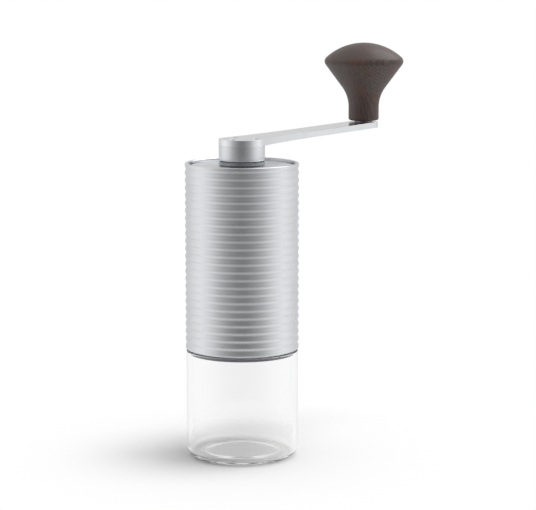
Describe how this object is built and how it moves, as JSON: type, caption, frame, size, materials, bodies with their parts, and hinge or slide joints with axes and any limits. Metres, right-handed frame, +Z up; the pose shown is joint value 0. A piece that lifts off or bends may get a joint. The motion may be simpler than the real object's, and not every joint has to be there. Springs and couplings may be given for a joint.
{
  "type": "hand crank coffee grinder",
  "caption": "Cylindrical hand coffee grinder with ribbed metal body, screw-on glass jar, lift-off lid, flat crank arm with turned wooden knob, and a stepped conical burr set inside.",
  "frame": {"origin": "centre of the jar's flat underside, on the grinding axis", "axes": "+Z up along the grinding axis, crank arm along +X at rest"},
  "size_m": [0.168, 0.056, 0.2004],
  "materials": {
    "glass": "clear moulded",
    "clear_rubber": "translucent silicone",
    "black_rubber": "matt",
    "grey_nylon": "moulded, satin",
    "ribbed_aluminium": "satin turned",
    "satin_aluminium": "satin turned",
    "hub_aluminium": "satin turned",
    "aluminium": "machined",
    "arm_steel": "polished",
    "dark_screw": "blackened sockets",
    "dark_metal": "dark anodised, satin",
    "shaft_steel": "ground",
    "spring_steel": "drawn",
    "bearing_steel": "polished",
    "burr_steel": "hardened",
    "brass": "machined",
    "wood": "dark stained, satin lacquer"
  },
  "bodies": {
    "housing": {"body_shell": "ribbed_aluminium", "upper_bracket": "aluminium", "upper_bracket_clip": "spring_steel", "upper_bearing_outer_race": "bearing_steel", "lower_bracket": "aluminium", "lower_bearing_outer_race": "bearing_steel", "outer_burr": "burr_steel", "burr_locating_pins": "bearing_steel", "burr_retaining_ring": "aluminium"},
    "upper_cage": {"upper_bearing_balls": "bearing_steel", "upper_bearing_cage": "brass"},
    "lower_cage": {"lower_bearing_balls": "bearing_steel", "lower_bearing_cage": "brass"},
    "drive": {"main_shaft": "shaft_steel", "upper_bearing_inner_race": "bearing_steel", "lower_bearing_inner_race": "bearing_steel", "spring_washer": "shaft_steel", "burr_spring": "spring_steel", "shaft_end_clip": "spring_steel"},
    "turning_burr": {"inner_burr": "burr_steel", "click_plate": "shaft_steel"},
    "dial": {"adjuster_dial": "brass", "click_balls": "bearing_steel", "click_springs": "spring_steel"},
    "lid": {"lid_plate": "satin_aluminium", "lid_seal": "black_rubber", "hub_bush": "dark_metal"},
    "crank": {"crank_hub": "hub_aluminium", "hub_clip": "spring_steel", "crank_arm": "arm_steel", "arm_screws": "dark_screw", "knob_spindle": "shaft_steel", "knob_clip": "spring_steel", "knob_washer": "dark_metal"},
    "handle": {"knob": "wood", "knob_bush": "brass"},
    "seal": {"jar_seal": "black_rubber"},
    "jar": {"jar_glass": "glass", "jar_gasket": "clear_rubber", "jar_collar": "grey_nylon"}
  },
  "joints": [
    {"name": "lid_lift", "type": "slide", "parent": "housing", "child": "lid", "axis": [0, 0, 1], "range_m": [0, 0.08]},
    {"name": "crank_turn", "type": "hinge", "parent": "lid", "child": "crank", "pos_m": [0, 0, 0.15], "axis": [0, 0, 1], "continuous": true},
    {"name": "knob_spin", "type": "hinge", "parent": "crank", "child": "handle", "pos_m": [0.119, 0, 0.17], "axis": [0, 0, 1], "continuous": true},
    {"name": "shaft_spin", "type": "hinge", "parent": "housing", "child": "drive", "pos_m": [0, 0, 0.1], "axis": [0, 0, 1], "continuous": true},
    {"name": "upper_cage_spin", "type": "hinge", "parent": "housing", "child": "upper_cage", "pos_m": [0, 0, 0.12], "axis": [0, 0, 1], "continuous": true},
    {"name": "lower_cage_spin", "type": "hinge", "parent": "housing", "child": "lower_cage", "pos_m": [0, 0, 0.089], "axis": [0, 0, 1], "continuous": true},
    {"name": "burr_gap", "type": "slide", "parent": "drive", "child": "turning_burr", "axis": [0, 0, -1], "range_m": [0, 0.0015], "deforming": ["burr_spring"]},
    {"name": "dial_turn", "type": "hinge", "parent": "turning_burr", "child": "dial", "pos_m": [0, 0, 0.062], "axis": [0, 0, -1], "range_deg": [0, 720]},
    {"name": "jar_drop", "type": "slide", "parent": "housing", "child": "seal", "axis": [0, 0, -1], "range_m": [0, 0.00525]},
    {"name": "jar_twist", "type": "hinge", "parent": "seal", "child": "jar", "pos_m": [0, 0, 0.055], "axis": [0, 0, -1], "range_deg": [0, 630]}
  ],
  "couplings": [
    {"joint": "shaft_spin", "follows": "crank_turn", "ratio": 1},
    {"joint": "upper_cage_spin", "follows": "crank_turn", "ratio": 0.3875},
    {"joint": "lower_cage_spin", "follows": "crank_turn", "ratio": 0.3875},
    {"joint": "dial_turn", "follows": "burr_gap", "rad_per_m": 8377.6},
    {"joint": "jar_drop", "follows": "jar_twist", "m_per_rad": 0.00047746}
  ]
}
